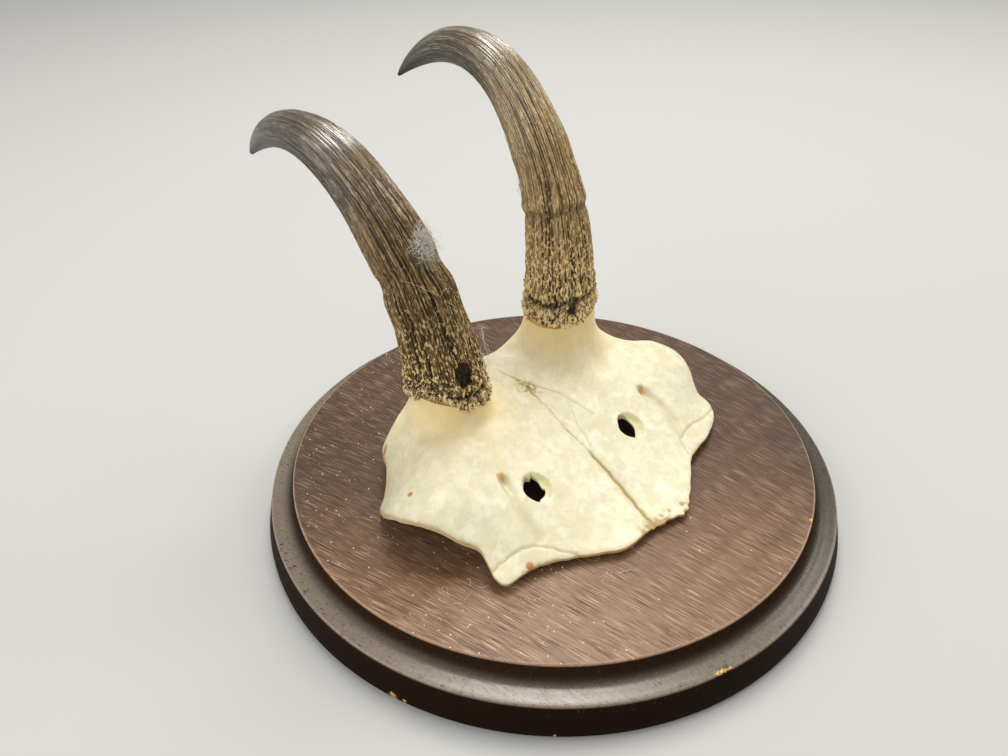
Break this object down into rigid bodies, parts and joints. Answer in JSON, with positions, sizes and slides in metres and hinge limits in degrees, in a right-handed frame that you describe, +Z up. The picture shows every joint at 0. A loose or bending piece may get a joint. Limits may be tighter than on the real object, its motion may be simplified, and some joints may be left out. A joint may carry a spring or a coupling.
{
  "type": "chamois skull mount",
  "caption": "Chamois skull cap with dark hooked horns, sawn flat below and fixed on a round turned board stained dark brown.",
  "frame": {"origin": "centre of the board's flat underside, on the surface that it stands on", "axes": "+Z up, -Y the way the nose pointed, +Y the way the horns hook, +X to the right as seen from the nose end"},
  "size_m": [0.18, 0.1826, 0.129],
  "materials": {
    "stained_wood": "dark brown stain, satin, open grain",
    "bleached_bone": "bleached bone, satin, with yellow tints at the pedicles",
    "horn_sheath": "grooved dark horn, dry at the base and smooth at the tip"
  },
  "bodies": {
    "root": {"plaque": "stained_wood", "skull_cap": "bleached_bone", "left_horn": "horn_sheath", "right_horn": "horn_sheath"}
  },
  "joints": []
}
